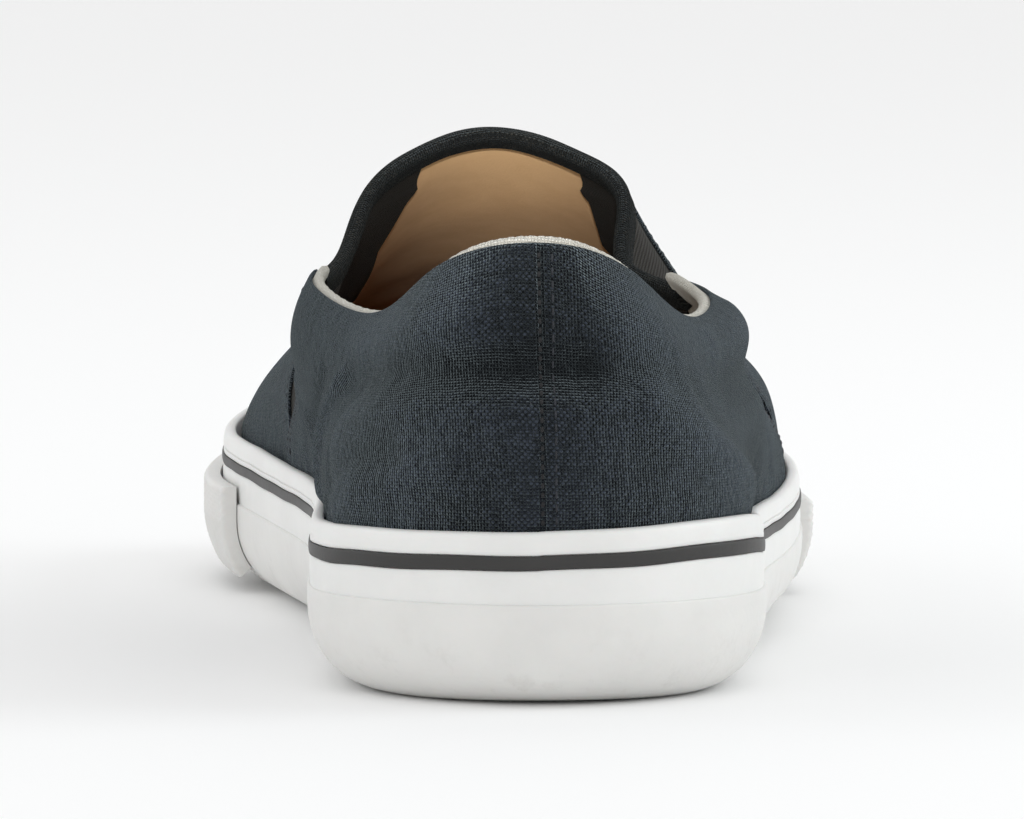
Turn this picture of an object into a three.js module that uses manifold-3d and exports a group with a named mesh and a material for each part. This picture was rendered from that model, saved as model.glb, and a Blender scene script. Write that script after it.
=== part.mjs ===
// A slip-on canvas sneaker for the right foot, standing empty on its sole, in millimetres.
// The toe points along +Y, the outer (lateral) side is +X and up is +Z.
// The sole edge and the upper are closed curves through sixteen stations that run round the shoe:
// 0 is the back of the heel, 1 to 7 the lateral side, 8 the tip of the toe and 9 to 15 the medial side.

import * as THREE from "three";
import Module from "manifold-3d";
import { mergeVertices } from "three/addons/utils/BufferGeometryUtils.js";

const wasm = await Module();
wasm.setup();

// Driving sizes of the last and the sole.
const shoeLength = 290;
const ballWidth = 107;
const heelWidth = 77.6;
const heelHeight = 79.8;
const ankleHeight = 62;
const instepHeight = 93.3;

// Sizes of the sole, measured on its side wall.
const sideHeight = 30;
const toeSpring = 8;
const heelLift = 0.5;
const archLift = 1.8;
const bottomRoundWidth = 12;
const bottomRoundHeight = 13.5;
const roundAngles = [0, 30, 60, 90];
const footbedHeight = 12.5;
const stepShare = 0.6;
const stepInset = 0.5;
const stepBevel = 0.6;

// Sizes of the tape round the sole, its stripe and the toe bumper.
const foxingThickness = 2.8;
const lipHeight = 4;
const lipRound = 0.9;
const stripeHeight = 2.8;
const stripeDepth = 0.9;
const stripeProud = 0.5;
const bumperThickness = 2.6;
const bumperAngles = [50, 70, 90];

// Thicknesses of the soft pieces.
const quarterWall = 2.8;
const quarterStep = 0.8;
const vampWall = 1.9;
const goreInset = 1.2;
const goreWall = 1.3;
const bindingThickness = 3;
const bindingWidth = 5.5;
const insoleThickness = 3.6;
const gap = 0.3;

// How finely the loops and ribs are divided.
const columns = 72;
const ribRows = 10;
const goreRows = 8;
const goreColumns = 4;

const soleColours = { tape: 0xe6e5e1, rubber: 0xe2e1dc, stripe: 0x3e3d3c };
const clothColours = { canvas: 0x262b36, elastic: 0x1d1c1a, binding: 0x2b2826, insole: 0xa8865f };

// The sole edge in plan. x is a share of the width named in the row, y a share of the length,
// and side the height of the side wall as a share of its height at the heel.
const soleEdge = [
  { of: heelWidth, x: 0.0, y: 0.0, side: 1.0 },
  { of: heelWidth, x: 0.45, y: 0.072, side: 0.98 },
  { of: heelWidth, x: 0.535, y: 0.21, side: 0.93 },
  { of: ballWidth, x: 0.44, y: 0.355, side: 0.87 },
  { of: ballWidth, x: 0.5, y: 0.5, side: 0.85 },
  { of: ballWidth, x: 0.527, y: 0.65, side: 0.86 },
  { of: ballWidth, x: 0.487, y: 0.8, side: 0.88 },
  { of: ballWidth, x: 0.32, y: 0.936, side: 0.9 },
  { of: ballWidth, x: -0.03, y: 1.0, side: 0.91 },
  { of: ballWidth, x: -0.345, y: 0.945, side: 0.91 },
  { of: ballWidth, x: -0.468, y: 0.82, side: 0.92 },
  { of: ballWidth, x: -0.442, y: 0.68, side: 0.93 },
  { of: ballWidth, x: -0.382, y: 0.53, side: 0.92 },
  { of: ballWidth, x: -0.343, y: 0.375, side: 0.92 },
  { of: heelWidth, x: -0.5, y: 0.2, side: 0.94 },
  { of: heelWidth, x: -0.42, y: 0.072, side: 0.98 },
];

// The top edge: collar, gore tops and throat. z is a share of the height named in the row.
const topline = [
  { x: -0.005, y: 0.028, z: 1.0, of: heelHeight },
  { x: 0.143, y: 0.055, z: 0.933, of: heelHeight },
  { x: 0.259, y: 0.172, z: 1.02, of: ankleHeight },
  { x: 0.3, y: 0.307, z: 1.045, of: ankleHeight },
  { x: 0.216, y: 0.359, z: 0.748, of: instepHeight },
  { x: 0.193, y: 0.386, z: 0.871, of: instepHeight },
  { x: 0.119, y: 0.405, z: 0.947, of: instepHeight },
  { x: 0.045, y: 0.413, z: 0.985, of: instepHeight },
  { x: -0.028, y: 0.414, z: 1.0, of: instepHeight },
  { x: -0.103, y: 0.413, z: 0.989, of: instepHeight },
  { x: -0.179, y: 0.406, z: 0.954, of: instepHeight },
  { x: -0.258, y: 0.391, z: 0.879, of: instepHeight },
  { x: -0.308, y: 0.36, z: 0.759, of: instepHeight },
  { x: -0.35, y: 0.303, z: 1.074, of: ankleHeight },
  { x: -0.257, y: 0.179, z: 1.032, of: ankleHeight },
  { x: -0.164, y: 0.058, z: 0.941, of: heelHeight },
];

// The shape of each rib between the sole edge and the top edge. rise and reach are the lengths of
// its lower and upper handles as shares of the straight distance; lean tips the lower handle
// outwards; heading (from +Y towards +X) and tilt (below level) aim the upper handle, in degrees.
const ribs = [
  { rise: 0.34, lean: 10, heading: 180, tilt: 78, reach: 0.33 },
  { rise: 0.34, lean: 8, heading: 118, tilt: 74, reach: 0.33 },
  { rise: 0.36, lean: 6, heading: 92, tilt: 60, reach: 0.36 },
  { rise: 0.34, lean: 4, heading: 84, tilt: 42, reach: 0.36 },
  { rise: 0.26, lean: 0, heading: 66, tilt: 66, reach: 0.34 },
  { rise: 0.2, lean: 0, heading: 44, tilt: 56, reach: 0.34 },
  { rise: 0.12, lean: 0, heading: 22, tilt: 38, reach: 0.4 },
  { rise: 0.12, lean: 0, heading: 8, tilt: 32, reach: 0.47 },
  { rise: 0.12, lean: 0, heading: 0, tilt: 30.5, reach: 0.48 },
  { rise: 0.12, lean: 0, heading: -7, tilt: 32, reach: 0.46 },
  { rise: 0.1, lean: -10, heading: -14, tilt: 42, reach: 0.39 },
  { rise: 0.14, lean: -6, heading: -32, tilt: 57, reach: 0.35 },
  { rise: 0.24, lean: 4, heading: -60, tilt: 70, reach: 0.36 },
  { rise: 0.34, lean: 8, heading: -84, tilt: 58, reach: 0.34 },
  { rise: 0.36, lean: 8, heading: -92, tilt: 64, reach: 0.36 },
  { rise: 0.34, lean: 8, heading: -118, tilt: 74, reach: 0.33 },
];

// The elastic gores: a wedge between the quarter's corner and the throat's corner, whose tip
// lies low on the side seam. corner, seam and throat are stations, tip a share of the rib.
const gores = {
  gore_lateral: { corner: 3.5, seam: 4.28, throat: 5.35 },
  gore_medial: { corner: 12.5, seam: 11.72, throat: 10.65 },
};
const goreTipShare = 0.16;
const tipWidthShare = 0.05;
const bindingEndStations = 0.05;
const notchReach = 6;
const notchTopShare = 1.12;
const seamStations = 0.006;
const seamClearStations = 0.05;
const bumperStations = [5.11, 10.89];

const stations = soleEdge.length;
const radians = THREE.MathUtils.degToRad;

// A periodic cubic spline through equally spaced values: the bends solve the usual
// 1-4-1 equations by repeated substitution.
function loopSpline(values) {
  const n = values.length;
  let bends = values.map(() => 0);
  for (let pass = 0; pass < 60; pass++) {
    bends = bends.map((_, i) => {
      const before = (i + n - 1) % n;
      const after = (i + 1) % n;
      const turn = 6 * (values[before] - 2 * values[i] + values[after]);
      return (turn - bends[before] - bends[after]) / 4;
    });
  }
  return (station) => {
    const at = ((station % n) + n) % n;
    const i = Math.floor(at);
    const j = (i + 1) % n;
    const t = at - i;
    const s = 1 - t;
    const straight = s * values[i] + t * values[j];
    return straight + ((s ** 3 - s) * bends[i] + (t ** 3 - t) * bends[j]) / 6;
  };
}

// One spline for each coordinate of a closed curve.
function loopCurve(points) {
  const [x, y, z] = [0, 1, 2].map((k) => loopSpline(points.map((p) => p.getComponent(k))));
  return (station) => new THREE.Vector3(x(station), y(station), z(station));
}

const edgePlan = loopCurve(
  soleEdge.map((row) => new THREE.Vector3(row.x * row.of, row.y * shoeLength, 0)),
);
const sideWall = loopSpline(soleEdge.map((row) => row.side * sideHeight));

// The outward direction of the sole edge in plan.
function edgeNormal(station) {
  const step = 0.01;
  const along = edgePlan(station + step).sub(edgePlan(station - step)).normalize();
  return new THREE.Vector3(along.y, -along.x, 0);
}

// How far the sole springs up at the toe.
const tread = { heelEnd: 0.07, archFrom: 0.3, archTo: 0.56, springFrom: 0.74 };
function springHeight(y) {
  const toe = Math.max(0, (y / shoeLength - tread.springFrom) / (1 - tread.springFrom));
  return toeSpring * toe ** 2;
}

// How far the underside alone is lifted, a little behind the heel and under the arch.
function underLift(y) {
  const t = y / shoeLength;
  const heel = Math.max(0, (tread.heelEnd - t) / tread.heelEnd);
  const arch = THREE.MathUtils.clamp((t - tread.archFrom) / (tread.archTo - tread.archFrom), 0, 1);
  return heelLift * heel ** 2 + archLift * Math.sin(Math.PI * arch) ** 2;
}

// A point beside the sole wall: inset from the sole edge, and raised above the sprung sole.
// Below the rounded edge's top it takes its part of the underside's lift.
function besideWall(station, inset, height) {
  const edge = edgePlan(station);
  const point = edge.clone().addScaledVector(edgeNormal(station), -inset);
  const low = Math.max(0, 1 - height / bottomRoundHeight);
  point.z = springHeight(edge.y) + height + underLift(edge.y) * low;
  return point;
}

// The ribs of the upper, each a cubic between the sole edge and the top edge.
const ribInset = foxingThickness + gap;
const ribStarts = soleEdge.map((row, i) => besideWall(i, ribInset, row.side * sideHeight));
const ribEnds = topline.map(
  (row) => new THREE.Vector3(row.x * ballWidth, row.y * shoeLength, row.z * row.of),
);
const ribLengths = ribStarts.map((start, i) => start.distanceTo(ribEnds[i]));
const lowerHandles = ribs.map((row, i) => {
  const lean = radians(row.lean);
  const handle = edgeNormal(i).multiplyScalar(Math.sin(lean));
  handle.z = Math.cos(lean);
  return handle.multiplyScalar(row.rise * ribLengths[i]).add(ribStarts[i]);
});
const upperHandles = ribs.map((row, i) => {
  const [heading, tilt] = [radians(row.heading), radians(row.tilt)];
  const level = Math.cos(tilt);
  return new THREE.Vector3(level * Math.sin(heading), level * Math.cos(heading), -Math.sin(tilt))
    .multiplyScalar(row.reach * ribLengths[i])
    .add(ribEnds[i]);
});
const lowerGuide = loopCurve(lowerHandles);
const upperGuide = loopCurve(upperHandles);
const topGuide = loopCurve(ribEnds);

// The outer surface of the upper. share is 0 at the top of the tape and 1 at the top edge.
function ribPoint(station, share) {
  const rest = 1 - share;
  return besideWall(station, ribInset, sideWall(station))
    .multiplyScalar(rest ** 3)
    .addScaledVector(lowerGuide(station), 3 * rest ** 2 * share)
    .addScaledVector(upperGuide(station), 3 * rest * share ** 2)
    .addScaledVector(topGuide(station), share ** 3);
}

// Directions on that surface: up along the rib, and outwards, square to it.
function ribFrame(station, share) {
  const step = 0.004;
  const [low, high] = [Math.max(0, share - step), Math.min(1, share + step)];
  const up = ribPoint(station, high).sub(ribPoint(station, low));
  const speed = up.length() / (high - low);
  const around = ribPoint(station + step, share).sub(ribPoint(station - step, share));
  return { up: up.normalize(), out: around.cross(up).normalize(), speed };
}

function upperPoint(station, share, offset) {
  return ribPoint(station, share).addScaledVector(ribFrame(station, share).out, offset);
}

// The share of the rib at which cloth ends under the binding.
function shareUnderBinding(station) {
  return 1 - (bindingWidth + 2 * gap) / ribFrame(station, 1).speed;
}

// A closed solid through polygons with equal numbers of points. The ends are capped by strips
// that zigzag between the two halves of the polygon, unless the last polygon meets the first.
function loft(polygons, ring = false) {
  const n = polygons[0].length;
  const corners = polygons.flat();
  const faces = [];
  const last = ring ? polygons.length : polygons.length - 1;
  for (let k = 0; k < last; k++) {
    const [a, b] = [k * n, ((k + 1) % polygons.length) * n];
    for (let i = 0; i < n; i++) {
      const j = (i + 1) % n;
      faces.push(a + i, a + j, b + i, a + j, b + j, b + i);
    }
  }
  const cap = (base, turned) => {
    for (let low = 0, high = n - 1, near = true; low + 1 < high; near = !near) {
      const face = near ? [low, low + 1, high] : [low, high - 1, high];
      faces.push(...(turned ? face : face.reverse()).map((i) => base + i));
      if (near) low++;
      else high--;
    }
  };
  if (!ring) {
    cap(0, false);
    cap((polygons.length - 1) * n, true);
  }
  return facingOut(corners, faces);
}

// The geometry of a closed shell, with its faces turned outwards.
function facingOut(corners, faces) {
  let volume = 0;
  for (let i = 0; i < faces.length; i += 3) {
    const [a, b, c] = [corners[faces[i]], corners[faces[i + 1]], corners[faces[i + 2]]];
    volume += a.dot(b.clone().cross(c));
  }
  const geometry = new THREE.BufferGeometry().setFromPoints(corners);
  geometry.setIndex(volume < 0 ? faces.reverse() : faces);
  return geometry;
}

function solidOf(geometry) {
  const bare = geometry.clone();
  bare.deleteAttribute("normal");
  bare.deleteAttribute("uv");
  const merged = mergeVertices(bare, 1e-4);
  return new wasm.Manifold(
    new wasm.Mesh({
      numProp: 3,
      vertProperties: new Float32Array(merged.attributes.position.array),
      triVerts: new Uint32Array(merged.index.array),
    }),
  );
}

function geometryOf(solid) {
  const { vertProperties, triVerts } = solid.getMesh();
  return new THREE.BufferGeometry()
    .setAttribute("position", new THREE.BufferAttribute(vertProperties, 3))
    .setIndex(new THREE.BufferAttribute(triVerts, 1));
}

const everyStation = Array.from({ length: columns }, (_, i) => (i * stations) / columns);

// A loop round the whole shoe at one inset and height beside the wall.
function wallLoop(inset, heightAt) {
  return everyStation.map((station) => besideWall(station, inset, heightAt(station)));
}

const stepHeight = (station) => stepShare * sideWall(station);

// The outer face of the sole from the floor to the step: inset and height of each corner,
// with a quarter of an ellipse for the rounded lower edge. proud moves it outwards.
function soleFace(angles, proud) {
  return angles.map((angle) => {
    const turn = radians(angle);
    const inset = bottomRoundWidth * (1 - Math.sin(turn)) - proud * Math.sin(turn);
    return { inset, height: bottomRoundHeight * (1 - Math.cos(turn)) - proud * Math.cos(turn) };
  });
}

// Rubber outsole: a cup with a rounded lower edge, whose rim carries the tape.
function outsole() {
  const face = soleFace(roundAngles, 0).map(({ inset, height }) => wallLoop(inset, () => height));
  const loops = [
    ...face,
    wallLoop(0, (station) => stepHeight(station) - stepBevel),
    wallLoop(stepBevel, stepHeight),
    wallLoop(foxingThickness, stepHeight),
    wallLoop(foxingThickness, () => footbedHeight),
  ];
  return loft(loops);
}

// Tape round the joint of sole and upper: rounded lip, groove for the stripe, plain band.
function foxing() {
  const below = (drop) => (station) => sideWall(station) - drop;
  const grooveTop = lipHeight;
  const grooveFoot = lipHeight + stripeHeight + 2 * gap;
  const loops = [
    wallLoop(foxingThickness, (station) => stepHeight(station) + gap),
    wallLoop(stepInset, (station) => stepHeight(station) + gap),
    wallLoop(stepInset, below(grooveFoot)),
    wallLoop(stepInset + stripeDepth, below(grooveFoot)),
    wallLoop(stepInset + stripeDepth, below(grooveTop)),
    wallLoop(stepInset, below(grooveTop)),
    wallLoop(stepInset, below(lipRound)),
    wallLoop(stepInset + lipRound, below(0)),
    wallLoop(foxingThickness, below(0)),
  ];
  return loft(loops, true);
}

// Dark rubber stripe in the groove of the tape, a little proud of it.
function foxingStripe() {
  const at = (inset, drop) => wallLoop(inset, (station) => sideWall(station) - drop);
  const [top, foot] = [lipHeight + gap, lipHeight + gap + stripeHeight];
  const bevel = stripeProud;
  const loops = [
    at(stepInset + stripeDepth - gap, foot),
    at(stepInset, foot),
    at(stepInset - stripeProud, foot - bevel),
    at(stepInset - stripeProud, top + bevel),
    at(stepInset, top),
    at(stepInset + stripeDepth - gap, top),
  ];
  return loft(loops, true);
}

// Rubber strip round the toe, from ball to ball, under the stripe.
function toeBumper() {
  const [first, last] = bumperStations.map((station) => Math.round((station * columns) / stations));
  const inner = soleFace(bumperAngles, gap);
  const outer = soleFace(bumperAngles, gap + bumperThickness).reverse();
  const sections = [];
  for (let i = first; i <= last; i++) {
    const station = everyStation[i];
    const top = sideWall(station) - lipHeight - stripeHeight - 3 * gap;
    const at = ({ inset, height }) => besideWall(station, inset, height);
    sections.push([
      ...inner.map(at),
      besideWall(station, -gap, top),
      besideWall(station, -gap - bumperThickness, top - stepBevel),
      ...outer.map(at),
    ]);
  }
  return loft(sections);
}

// Sock liner on the footbed, its edge eased on top.
function insole() {
  const edge = ribInset + quarterWall + 2 * gap;
  const floor = footbedHeight + gap;
  const ease = 1;
  return loft([
    wallLoop(edge, () => floor),
    wallLoop(edge, () => floor + insoleThickness - ease),
    wallLoop(edge + ease, () => floor + insoleThickness),
  ]);
}

// Whether a station lies in the quarters, behind both side seams.
const seams = Object.values(gores).map((gore) => gore.seam);
const inQuarters = (station) => station < seams[0] || station > seams[1];

// Canvas upper: one wall from the footbed to the collar and throat, thicker by a step behind
// each side seam, with a notch for each gore.
function upper() {
  const edges = seams.flatMap((seam) => [seam - seamStations, seam + seamStations]);
  const around = [...everyStation, ...edges].sort((a, b) => a - b);
  const isClear = (station) => edges.every((edge) => Math.abs(edge - station) > seamClearStations);
  const clear = around.filter((station) => edges.includes(station) || isClear(station));
  const sections = clear.map((station) => {
    const quarter = inQuarters(station);
    const outer = quarter ? 0 : -quarterStep;
    const inner = quarter ? -quarterWall : -quarterStep - vampWall;
    const top = quarter ? 1 : shareUnderBinding(station);
    const shares = Array.from({ length: ribRows + 1 }, (_, i) => (top * i) / ribRows);
    const foot = (offset) => besideWall(station, ribInset - offset, footbedHeight + gap);
    return [
      foot(outer),
      ...shares.map((share) => upperPoint(station, share, outer)),
      ...shares.reverse().map((share) => upperPoint(station, share, inner)),
      foot(inner),
    ];
  });
  let shell = solidOf(loft(sections, true));
  for (const gore of Object.values(gores)) shell = shell.subtract(solidOf(goreWedge(gore, true)));
  return geometryOf(shell);
}

// One side of a gore, straight in station and share from the tip at the seam to the top edge.
function goreSide(seam, end, tip, top, open) {
  const share = tip + (top - tip) * open;
  const width = tipWidthShare + ((1 - tipWidthShare) * (share - tip)) / (1 - tip);
  return { station: seam + (end - seam) * width, share };
}

// A wedge of the upper's own surface between quarter and vamp. Grown, it is the notch that
// the gore sits in, with the gap on each side.
function goreWedge({ corner, seam, throat }, grown) {
  const [outer, inner] = grown ? [notchReach, -notchReach] : [-goreInset, -goreInset - goreWall];
  const tip = grown ? goreTipShare - 0.02 : goreTipShare;
  const topAt = (end) => (grown ? notchTopShare : shareUnderBinding(end));
  const sections = [];
  for (let i = 0; i <= goreRows; i++) {
    const open = i / goreRows;
    const rear = goreSide(seam, corner, tip, topAt(corner), open);
    const front = goreSide(seam, throat, tip, topAt(throat), open);
    const width = ribPoint(rear.station, rear.share).distanceTo(
      ribPoint(front.station, front.share),
    );
    const spread = grown ? gap / width : 0;
    const across = [];
    for (let k = 0; k <= goreColumns; k++) {
      const t = -spread + ((1 + 2 * spread) * k) / goreColumns;
      const station = THREE.MathUtils.lerp(rear.station, front.station, t);
      const top = grown ? notchTopShare : shareUnderBinding(station);
      across.push({ station, share: tip + (top - tip) * open });
    }
    sections.push([
      ...across.map(({ station, share }) => upperPoint(station, share, outer)),
      ...across.reverse().map(({ station, share }) => upperPoint(station, share, inner)),
    ]);
  }
  return loft(sections);
}

// Folded tape along the tops of the gores and the throat.
function throatBinding() {
  const [start, end] = Object.values(gores).map(({ corner, seam }) => {
    return goreSide(seam, corner, goreTipShare, shareUnderBinding(corner), 1).station;
  });
  const inside = everyStation.filter(
    (station) => station > start + 2 * bindingEndStations && station < end - 2 * bindingEndStations,
  );
  const [outer, inner] = [-quarterStep / 2, -quarterStep / 2 - bindingThickness];
  const round = bindingThickness / 3;
  const corners = [
    { along: -bindingWidth, out: inner + round },
    { along: -bindingWidth, out: outer - round },
    { along: -bindingWidth + round, out: outer },
    { along: -round, out: outer },
    { along: 0, out: outer - round },
    { along: 0, out: inner + round },
    { along: -round, out: inner },
    { along: -bindingWidth + round, out: inner },
  ];
  const sections = [start + bindingEndStations, ...inside, end - bindingEndStations].map((station) => {
    const { up, out } = ribFrame(station, 1);
    return corners.map((corner) =>
      topGuide(station).addScaledVector(up, corner.along).addScaledVector(out, corner.out),
    );
  });
  return loft(sections);
}

function piece(name, geometry, color, roughness) {
  const mesh = new THREE.Mesh(
    geometry,
    new THREE.MeshStandardMaterial({ color, roughness, metalness: 0 }),
  );
  mesh.name = name;
  return mesh;
}

const shoe = new THREE.Group();
shoe.add(
  piece("outsole", outsole(), soleColours.rubber, 0.55),
  piece("foxing", foxing(), soleColours.tape, 0.5),
  piece("foxing_stripe", foxingStripe(), soleColours.stripe, 0.5),
  piece("toe_bumper", toeBumper(), soleColours.rubber, 0.6),
  piece("insole", insole(), clothColours.insole, 0.9),
  piece("upper", upper(), clothColours.canvas, 0.95),
  piece("throat_binding", throatBinding(), clothColours.binding, 0.9),
);
for (const [name, gore] of Object.entries(gores)) {
  shoe.add(piece(name, goreWedge(gore, false), clothColours.elastic, 0.9));
}

// The shoe stands on the floor with the middle of its length and width over the origin.
const extent = new THREE.Box3().setFromObject(shoe);
const middle = extent.getCenter(new THREE.Vector3());
shoe.position.set(-middle.x, -middle.y, -extent.min.z);

export default shoe;
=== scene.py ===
import math

import bpy
import numpy as np
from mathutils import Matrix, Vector


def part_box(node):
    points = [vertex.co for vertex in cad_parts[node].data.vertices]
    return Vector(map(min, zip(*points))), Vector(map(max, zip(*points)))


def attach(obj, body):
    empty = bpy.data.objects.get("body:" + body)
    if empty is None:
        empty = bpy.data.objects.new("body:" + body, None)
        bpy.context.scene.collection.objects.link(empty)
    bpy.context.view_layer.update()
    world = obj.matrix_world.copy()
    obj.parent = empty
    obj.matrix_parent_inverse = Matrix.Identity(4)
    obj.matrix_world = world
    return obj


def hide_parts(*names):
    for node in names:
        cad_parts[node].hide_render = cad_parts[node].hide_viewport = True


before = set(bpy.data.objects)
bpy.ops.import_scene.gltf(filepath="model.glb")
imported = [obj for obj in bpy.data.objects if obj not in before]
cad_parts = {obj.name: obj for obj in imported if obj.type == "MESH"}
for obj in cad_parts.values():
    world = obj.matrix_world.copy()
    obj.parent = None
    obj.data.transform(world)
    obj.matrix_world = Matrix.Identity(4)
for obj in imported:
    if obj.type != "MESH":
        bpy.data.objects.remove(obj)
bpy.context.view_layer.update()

# Camera, floor and light
# A long lens stands two metres behind the heel, a little above it and slightly to the inner
# side, as in the photograph. The shoe stands on a pale floor in broad soft light, and a narrow
# spot reaches the lining under the throat.
camera_distance = 2.147
camera_turn = math.radians(-2.62)
camera_height = 0.222
camera_aim = np.array([-0.004, -0.046, 0.043])
focal_length = 415.0

camera_data = bpy.data.cameras.new("camera")
camera_data.lens = focal_length
camera_data.sensor_width = 36.0
camera_data.clip_end = 50.0
camera = bpy.data.objects.new("camera", camera_data)
bpy.context.scene.collection.objects.link(camera)
bpy.context.scene.camera = camera


def look_from(thing, place, aim):
    """Puts a camera or lamp at place with its -Z axis towards aim."""
    direction = (np.asarray(aim) - np.asarray(place)).tolist()
    thing.location = place
    thing.rotation_euler = Vector(direction).to_track_quat("-Z", "Y").to_euler()


camera_place = np.array([
    camera_distance * math.sin(camera_turn),
    -camera_distance * math.cos(camera_turn),
    camera_height,
])
look_from(camera, camera_place, camera_aim)


def node(tree, kind, links=None, values=None, **settings):
    """Adds a shader node: settings are its own properties, values its socket values, and links
    its incoming sockets, by name or number."""
    made = tree.nodes.new(kind)
    for key, value in settings.items():
        setattr(made, key, value)
    for key, value in (values or {}).items():
        made.inputs[key].default_value = value
    for key, socket in (links or {}).items():
        tree.links.new(socket, made.inputs[key])
    return made


def new_material(name, values):
    """A material with one Principled shader, whose constant values sit on its own sockets."""
    material = bpy.data.materials.new(name)
    material.use_nodes = True
    tree = material.node_tree
    tree.nodes.clear()
    shader = node(tree, "ShaderNodeBsdfPrincipled", values=values)
    node(tree, "ShaderNodeOutputMaterial", {"Surface": shader.outputs[0]})
    return material, tree, shader


def math_node(tree, operation, first, second=None, third=None):
    """One arithmetic step; each operand is a socket or a number."""
    made = tree.nodes.new("ShaderNodeMath")
    made.operation = operation
    for slot, operand in enumerate((first, second, third)):
        if operand is None:
            continue
        if isinstance(operand, (int, float)):
            made.inputs[slot].default_value = operand
        else:
            tree.links.new(operand, made.inputs[slot])
    return made.outputs[0]


def ramp(tree, factor, stops):
    """A colour ramp through (position, colour) stops."""
    made = node(tree, "ShaderNodeValToRGB", {"Fac": factor})
    elements = made.color_ramp.elements
    while len(elements) < len(stops):
        elements.new(0.5)
    for element, (position, colour) in zip(elements, stops):
        element.position = position
        element.color = (*colour, 1.0)
    return made.outputs["Color"]


floor_size = 12.0
floor_material, _, _ = new_material("studio_floor", {
    "Base Color": (0.95, 0.95, 0.95, 1.0), "Roughness": 0.75, "Specular IOR Level": 0.4,
})
half_floor = floor_size / 2
floor_mesh = bpy.data.meshes.new("floor")
floor_mesh.from_pydata(
    [(-half_floor, -half_floor, 0), (half_floor, -half_floor, 0),
     (half_floor, half_floor, 0), (-half_floor, half_floor, 0)], [], [(0, 1, 2, 3)])
floor_mesh.materials.append(floor_material)
floor = bpy.data.objects.new("floor", floor_mesh)
bpy.context.scene.collection.objects.link(floor)

world = bpy.data.worlds.new("studio")
world.use_nodes = True
world.node_tree.nodes["Background"].inputs["Color"].default_value = (0.9, 0.9, 0.9, 1.0)
world.node_tree.nodes["Background"].inputs["Strength"].default_value = 1.0
bpy.context.scene.world = world
bpy.context.scene.view_settings.view_transform = "Standard"
bpy.context.scene.view_settings.look = "None"

lamps = {
    "overhead_softbox": ((0.0, 0.15, 1.6), 1.6, 0.5, (1.0, 1.0, 1.0)),
    "left_panel": ((-1.3, 0.35, 0.75), 1.0, 1.8, (0.94, 0.98, 1.0)),
    "right_panel": ((1.2, 0.0, 0.75), 0.8, 4.4, (0.92, 0.98, 1.0)),
    "rear_fill": ((-0.3, -1.9, 0.4), 0.8, 1.6, (1.0, 0.99, 0.97)),
}
for lamp_name, (place, size, watts, colour) in lamps.items():
    lamp_data = bpy.data.lights.new(lamp_name, "AREA")
    lamp_data.size = size
    lamp_data.energy = watts
    lamp_data.color = colour
    lamp = bpy.data.objects.new(lamp_name, lamp_data)
    bpy.context.scene.collection.objects.link(lamp)
    look_from(lamp, place, (0.0, 0.0, 0.04))

throat_lamp_data = bpy.data.lights.new("throat_spot", "SPOT")
throat_lamp_data.energy = 160.0
throat_lamp_data.spot_size = math.radians(2.3)
throat_lamp_data.spot_blend = 1.0
throat_lamp_data.shadow_soft_size = 0.02
throat_lamp = bpy.data.objects.new("throat_spot", throat_lamp_data)
look_from(throat_lamp, (-0.06, -1.9, 0.42), (-0.003, -0.01, 0.087))
bpy.context.scene.collection.objects.link(throat_lamp)

# Sole cup
# A moulded cup of off-white rubber with a rounded lower edge, a raised rim that carries the
# tape, and a shallow zigzag tread under its whole length, clear of the edge.
shoe_length = 290.0
ball_width = 107.0
heel_width = 77.6
side_height = 30.0
toe_spring = 8.0
heel_lift = 0.5
arch_lift = 1.8
round_width = 12.0
round_height = 13.5
footbed_height = 12.5
step_share = 0.6
step_bevel = 0.5
foxing_thickness = 2.8
tread_pitch = 7.5
tread_depth = 1.3
tread_swing = 4.4
tread_slant = 1.2

# The sole edge in plan through sixteen stations, 0 at the back of the heel, then along the
# outer side to the toe at 8 and back along the inner side: width it is a share of, x share,
# y as a share of the length, and height of the side wall as a share of that at the heel.
sole_edge = [
    (heel_width, 0.0, 0.0, 1.0),
    (heel_width, 0.45, 0.072, 0.98),
    (heel_width, 0.535, 0.21, 0.93),
    (ball_width, 0.44, 0.355, 0.87),
    (ball_width, 0.5, 0.5, 0.85),
    (ball_width, 0.527, 0.65, 0.86),
    (ball_width, 0.487, 0.8, 0.88),
    (ball_width, 0.32, 0.936, 0.9),
    (ball_width, -0.03, 1.0, 0.91),
    (ball_width, -0.345, 0.945, 0.91),
    (ball_width, -0.468, 0.82, 0.92),
    (ball_width, -0.442, 0.68, 0.93),
    (ball_width, -0.382, 0.53, 0.92),
    (ball_width, -0.343, 0.375, 0.92),
    (heel_width, -0.5, 0.2, 0.94),
    (heel_width, -0.42, 0.072, 0.98),
]
stations = len(sole_edge)


def loop_spline(values):
    """Periodic cubic through equally spaced values. The bends b solve
    b[i-1] + 4 b[i] + b[i+1] = 6 times the second difference of the values."""
    values = np.asarray(values, float)
    n = len(values)
    ring = 4 * np.eye(n) + np.roll(np.eye(n), 1, axis=0) + np.roll(np.eye(n), -1, axis=0)
    turn = 6 * (np.roll(values, 1, axis=0) - 2 * values + np.roll(values, -1, axis=0))
    bends = np.linalg.solve(ring, turn)

    def at(station):
        """The value at any place on the loop, from its two neighbours and their bends."""
        place = np.mod(np.asarray(station, float), n)
        i = np.minimum(np.floor(place).astype(int), n - 1)
        j = (i + 1) % n
        t = place - i
        if values.ndim == 2:
            t = t[..., None]
        s = 1 - t
        bent = (s ** 3 - s) * bends[i] + (t ** 3 - t) * bends[j]
        return s * values[i] + t * values[j] + bent / 6

    return at


edge_plan = loop_spline([(x * of, y * shoe_length, 0.0) for of, x, y, _ in sole_edge])
side_wall = loop_spline([side * side_height for *_, side in sole_edge])


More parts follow.
